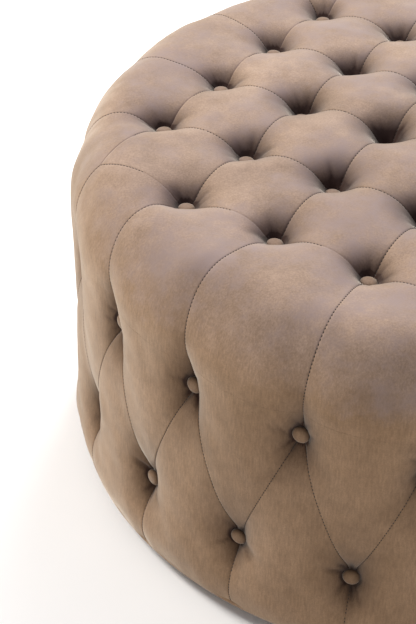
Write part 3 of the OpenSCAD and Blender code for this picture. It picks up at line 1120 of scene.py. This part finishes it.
def velvet():
    """Cut-pile velvet: its pile's colour, with a painted sheen on upward faces, painted light and
    shade on the seat's slopes and crushed pile with painted shade in the pits.
    """
    m = Nodes("velvet")
    place = m.place()
    depth, lay, lean = (m.add("Attribute", {"attribute_name": field}).outputs["Fac"]
                        for field in ("depth", "lay", "lean"))
    cloud = m.noise(place, 9.0, 4.0, 0.6)
    blotch = m.noise(place, 38.0, 5.0, 0.65)
    streak = m.noise(m.place((1.0, 1.0, 0.16)), 420.0, 2.0, 0.5)
    grain = m.noise(place, 520.0, 3.0, 0.7)
    pile = m.noise(place, 1500.0, 2.0, 0.6)
    # The pile lies down the sides, where it is browner, and stands up on the seat, where it is painted
    # paler and pinker as a painted sheen
    down = m.ramp(cloud, (0.36, (0.250, 0.154, 0.088)), (0.64, (0.304, 0.193, 0.117)))
    up = m.ramp(cloud, (0.36, (0.250, 0.173, 0.131)), (0.64, (0.320, 0.227, 0.176)))
    standing = m.greys(m.math("MULTIPLY_ADD", blotch, 0.6, lay), (0.42, 0), (0.95, 1))
    colour = m.mix(standing, down, up)
    colour = m.tint(0.7, colour, blotch, (0.3, (0.84, 0.84, 0.85)), (0.7, (1.12, 1.12, 1.12)),
                    kind="MULTIPLY")
    colour = m.tint(0.45, colour, streak, (0.3, (0.72, 0.70, 0.68)), (0.7, (1.2, 1.2, 1.2)),
                    kind="MULTIPLY")
    colour = m.tint(0.5, colour, grain, (0.34, (0.80, 0.79, 0.79)), (0.66, (1.18, 1.18, 1.18)),
                    kind="MULTIPLY")
    # Brushed the wrong way in soft patches, where it looks greyer and pinker
    brushed = m.greys(m.noise(place, 11.0, 7.0, 0.72), (0.44, 0), (0.64, 0.95))
    colour = m.mix(m.math("MULTIPLY", brushed, standing), colour, (0.248, 0.184, 0.172))
    # Painted shade: the crushed pile is darkened in the pits, round the buttons and in the pleats
    colour = m.tint(1.0, colour, depth, (0.08, (1, 1, 1)), (0.92, (0.13, 0.095, 0.10)),
                    kind="MULTIPLY")
    # Painted light on slopes that face the key light, painted shade on slopes that face away from it
    colour = m.tint(1.0, colour, lean, (0.28, (1.14, 1.11, 1.0)), (0.56, (1, 1, 1)),
                    (0.88, (0.48, 0.41, 0.48)), kind="MULTIPLY")
    normal = m.bump(streak, 0.25 * MM, 0.5)
    normal = m.bump(pile, 0.12 * MM, 0.5, normal)
    m.shade(Base_Color=colour, Roughness=0.85, Normal=normal, Sheen_Weight=0.5,
            Sheen_Roughness=0.42, Sheen_Tint=(1.0, 0.93, 0.82, 1), Specular_IOR_Level=0.1)
    return m.material


def thread():
    m = Nodes("seam_thread")
    twist = m.noise(m.place(), 2600.0, 2.0, 0.5)
    colour = m.ramp(twist, (0.35, (0.016, 0.010, 0.007)), (0.7, (0.045, 0.029, 0.020)))
    m.shade(Base_Color=colour, Roughness=0.7, Normal=m.bump(twist, 0.05 * MM, 0.5))
    return m.material


def woven_lining():
    """Plain-woven charcoal lining: two crossed threads, slubs and a faint dusty cast."""
    m = Nodes("woven_lining")
    slub = m.noise(m.place((1, 1, 0.1)), 260.0, 3.0, 0.6)
    dust = m.noise(m.place(), 9.0, 4.0, 0.6)
    warp, weft, rise = (m.greys(m.wave(axis, 300.0, 0.8, Detail=1.0), (0, 0), (1, 1))
                        for axis in "XYZ")
    weave = m.mix(0.33, m.mix(0.5, warp, weft), rise)
    dark = (0.030, 0.027, 0.026)
    colour = m.ramp(weave, (0.2, dark), (0.8, (0.066, 0.060, 0.057)))
    colour = m.tint(0.5, colour, slub, (0.3, dark), (0.75, (0.085, 0.078, 0.073)))
    colour = m.tint(0.25, colour, dust, (0.35, dark), (0.7, (0.13, 0.118, 0.108)))
    normal = m.bump(weave, 0.12 * MM, 0.6)
    normal = m.bump(slub, 0.15 * MM, 0.4, normal)
    m.shade(Base_Color=colour, Roughness=0.88, Normal=normal, Sheen_Weight=0.25,
            Sheen_Roughness=0.5)
    return m.material


def wood(name, grain_scale, dark, pale, edge_layers):
    """Sawn wood: long grain, pores and, on plywood, the pale and dark plies on its edges."""
    m = Nodes(name)
    along = m.place(grain_scale)
    grain = m.noise(along, 26.0, 6.0, 0.62)
    pores = m.noise(along, 240.0, 3.0, 0.7)
    warm = m.noise(m.place(), 3.0, 3.0, 0.5)
    colour = m.ramp(grain, (0.32, dark), (0.68, pale))
    colour = m.tint(0.35, colour, pores, (0.35, [0.6 * c for c in dark]), (0.6, pale))
    colour = m.tint(0.2, colour, warm, (0.3, dark), (0.7, pale))
    if edge_layers:
        geometry = m.add("NewGeometry").outputs["Normal"]
        facing = m.add("SeparateXYZ", None, Vector=geometry).outputs["Z"]
        side = m.greys(m.math("ABSOLUTE", facing), (0.3, 1), (0.7, 0))
        plies = m.wave("Z", 115.0, 0.6, Detail=2.0, Detail_Scale=0.4)
        colour = m.tint(side, colour, plies, (0.35, [0.5 * c for c in dark]), (0.6, pale))
    normal = m.bump(grain, 0.2 * MM, 0.4)
    normal = m.bump(pores, 0.12 * MM, 0.5, normal)
    m.shade(Base_Color=colour, Roughness=0.62, Normal=normal)
    return m.material


def hardboard():
    m = Nodes("hardboard")
    place = m.place()
    fibre = m.noise(place, 420.0, 4.0, 0.7)
    cloud = m.noise(place, 14.0, 3.0, 0.5)
    colour = m.ramp(fibre, (0.3, (0.115, 0.062, 0.034)), (0.7, (0.235, 0.138, 0.080)))
    colour = m.tint(0.4, colour, cloud, (0.3, (0.13, 0.072, 0.040)), (0.7, (0.21, 0.12, 0.07)))
    m.shade(Base_Color=colour, Roughness=0.55, Normal=m.bump(fibre, 0.1 * MM, 0.4))
    return m.material


def zinc_steel():
    """Zinc-plated steel: spangled blue-grey with fine rolling lines and dull patches."""
    m = Nodes("zinc_steel")
    place = m.place()
    spangle = m.add("TexVoronoi", None, Vector=place, Scale=420.0).outputs["Distance"]
    rolled = m.noise(m.place((14, 1, 1)), 180.0, 3.0, 0.6)
    patch = m.noise(place, 60.0, 3.0, 0.5)
    colour = m.ramp(patch, (0.3, (0.30, 0.305, 0.32)), (0.7, (0.41, 0.415, 0.43)))
    colour = m.tint(0.25, colour, spangle, (0.0, (0.25, 0.255, 0.27)), (0.7, (0.50, 0.505, 0.52)))
    rough = m.greys(patch, (0.3, 0.38), (0.7, 0.55))
    m.shade(Base_Color=colour, Metallic=1.0, Roughness=rough, Normal=m.bump(rolled, 0.03 * MM, 0.4))
    return m.material


def black_plastic():
    """Moulded black plastic with a fine spark-eroded grain and scuffed high spots."""
    m = Nodes("black_plastic")
    place = m.place()
    grain = m.add("TexVoronoi", None, Vector=place, Scale=900.0).outputs["Distance"]
    scuff = m.noise(place, 70.0, 5.0, 0.7)
    colour = m.ramp(scuff, (0.45, (0.012, 0.012, 0.012)), (0.75, (0.040, 0.038, 0.037)))
    rough = m.greys(scuff, (0.35, 0.42), (0.7, 0.62))
    m.shade(Base_Color=colour, Roughness=rough, Normal=m.bump(grain, 0.06 * MM, 0.35))
    return m.material


def felt():
    m = Nodes("pressed_felt")
    place = m.place()
    fibre = m.noise(place, 700.0, 5.0, 0.75)
    fleck = m.noise(place, 120.0, 3.0, 0.6)
    colour = m.ramp(fibre, (0.3, (0.045, 0.038, 0.033)), (0.7, (0.110, 0.095, 0.082)))
    colour = m.tint(0.3, colour, fleck, (0.4, (0.05, 0.04, 0.035)), (0.7, (0.15, 0.13, 0.115)))
    m.shade(Base_Color=colour, Roughness=0.95, Normal=m.bump(fibre, 0.3 * MM, 0.7),
            Sheen_Weight=0.3, Sheen_Roughness=0.5)
    return m.material


def waxed_twine():
    m = Nodes("waxed_twine")
    lay = m.wave("DIAGONAL", 380.0, 0.5)
    stain = m.noise(m.place(), 90.0, 3.0, 0.6)
    colour = m.ramp(lay, (0.1, (0.36, 0.31, 0.21)), (0.8, (0.66, 0.60, 0.46)))
    colour = m.tint(0.3, colour, stain, (0.3, (0.42, 0.36, 0.25)), (0.7, (0.72, 0.67, 0.53)))
    m.shade(Base_Color=colour, Roughness=0.5, Normal=m.bump(lay, 0.15 * MM, 0.6))
    return m.material


def paint(obj, material):
    """Gives an object's every material slot this material."""
    if not obj.data.materials:
        obj.data.materials.append(material)
    for n in range(len(obj.material_slots)):
        obj.material_slots[n].link = "OBJECT"
        obj.material_slots[n].material = material


VELVET = velvet()
THREAD = thread()
LINING = woven_lining()
PLY = wood("birch_plywood", (0.12, 1, 1), (0.46, 0.31, 0.17), (0.68, 0.52, 0.33), True)
PINE = wood("planed_softwood", (1, 1, 0.10), (0.50, 0.32, 0.15), (0.74, 0.56, 0.33), False)
STEEL = zinc_steel()
SLOT_LOOKS = {
    "lining": LINING, "felt": felt(), "twine": waxed_twine(), "plywood": PLY, "softwood": PINE,
    "hardboard": hardboard(), "steel": STEEL, "black_plastic": black_plastic(),
}

for piece in (seat_cover, side_cover, seat_button_look, side_button_look):
    piece.data.materials.append(VELVET)
for piece in (seat_stitches, side_stitches):
    piece.data.materials.append(THREAD)
for piece in (wall_lining, floor_cloth, *board_cloths):
    piece.data.materials.append(LINING)
for piece in board_staples:
    piece.data.materials.append(STEEL)
for row in frame["record"]["subparts"]:
    look = SLOT_LOOKS.get(row["material_slot"])
    if look:
        paint(frame["nodes"][row["node"]], look)


# ---- Stage, light and camera --------------------------------------------------------------

# Half the floor's width, in metres
FLOOR = 9
# The fitted camera: its place in drum radii, its angles in radians and its lens in millimetres
CAMERA_AZIMUTH = math.radians(-20.03)
CAMERA_AWAY = 3.8171
CAMERA_UP = 3.1682
CAMERA_YAW = -0.1659
CAMERA_PITCH = 0.6489
CAMERA_ROLL = 0.0239
CAMERA_LENS = 97.3


def stage():
    """A plain pale floor."""
    corners = [(-FLOOR, -FLOOR, 0), (FLOOR, -FLOOR, 0), (FLOOR, FLOOR, 0), (-FLOOR, FLOOR, 0)]
    mesh = mesh_from("floor", corners, [(0, 1, 2, 3)])
    floor = new_object("floor", mesh)
    m = Nodes("floor_paint")
    tone = m.noise(m.place(), 3.0, 3.0, 0.5)
    m.shade(Base_Color=m.greys(tone, (0.3, 0.90), (0.7, 0.93)), Roughness=0.85)
    mesh.materials.append(m.material)


def area_light(name, place, aim, size, power, colour=(1, 1, 1)):
    data = bpy.data.lights.new(name, "AREA")
    data.shape = "RECTANGLE"
    data.size, data.size_y = size
    data.energy = power
    data.color = colour
    light = bpy.data.objects.new(name, data)
    bpy.context.scene.collection.objects.link(light)
    light.location = place
    way = Vector(aim) - Vector(place)
    light.rotation_euler = way.to_track_quat("-Z", "Y").to_euler()


def lights():
    """A pale room, a softbox high on the left and a wide one overhead at the back."""
    bpy.context.scene.view_settings.view_transform = "Standard"
    world = bpy.data.worlds.new("studio")
    bpy.context.scene.world = world
    world.use_nodes = True
    background = world.node_tree.nodes["Background"]
    background.inputs["Color"].default_value = (0.97, 0.97, 1.0, 1)
    background.inputs["Strength"].default_value = 0.50
    area_light("key", (-5.8, 3.6, 6.3), (0, 0, 0.3), (2.3, 2.3), 735, (1.0, 0.97, 0.93))
    area_light("top", (2.0, 3.0, 3.6), (0, 0, 0.4), (2.8, 2.8), 265)


def camera():
    """A long lens above the front left, as fitted to the drum's outline and buttons."""
    away, up = CAMERA_AWAY * DRUM_R, CAMERA_UP * DRUM_R + EDGE_Z
    pitch, roll = CAMERA_PITCH, CAMERA_ROLL
    heading = -CAMERA_AZIMUTH + CAMERA_YAW
    forward = Vector((math.sin(heading) * math.cos(pitch), math.cos(heading) * math.cos(pitch),
                      -math.sin(pitch)))
    right = Vector((math.cos(heading), -math.sin(heading), 0))
    over = right.cross(forward)
    right_rolled = math.cos(roll) * right + math.sin(roll) * over
    over_rolled = -math.sin(roll) * right + math.cos(roll) * over
    data = bpy.data.cameras.new("camera")
    data.sensor_fit = "VERTICAL"
    data.sensor_height = 36.0
    data.lens = CAMERA_LENS
    data.clip_end = 60
    obj = bpy.data.objects.new("camera", data)
    bpy.context.scene.collection.objects.link(obj)
    matrix = Matrix((right_rolled, over_rolled, -forward)).transposed().to_4x4()
    matrix.translation = (away * math.sin(CAMERA_AZIMUTH), -away * math.cos(CAMERA_AZIMUTH), up)
    obj.matrix_world = matrix
    bpy.context.scene.camera = obj


stage()
lights()
camera()
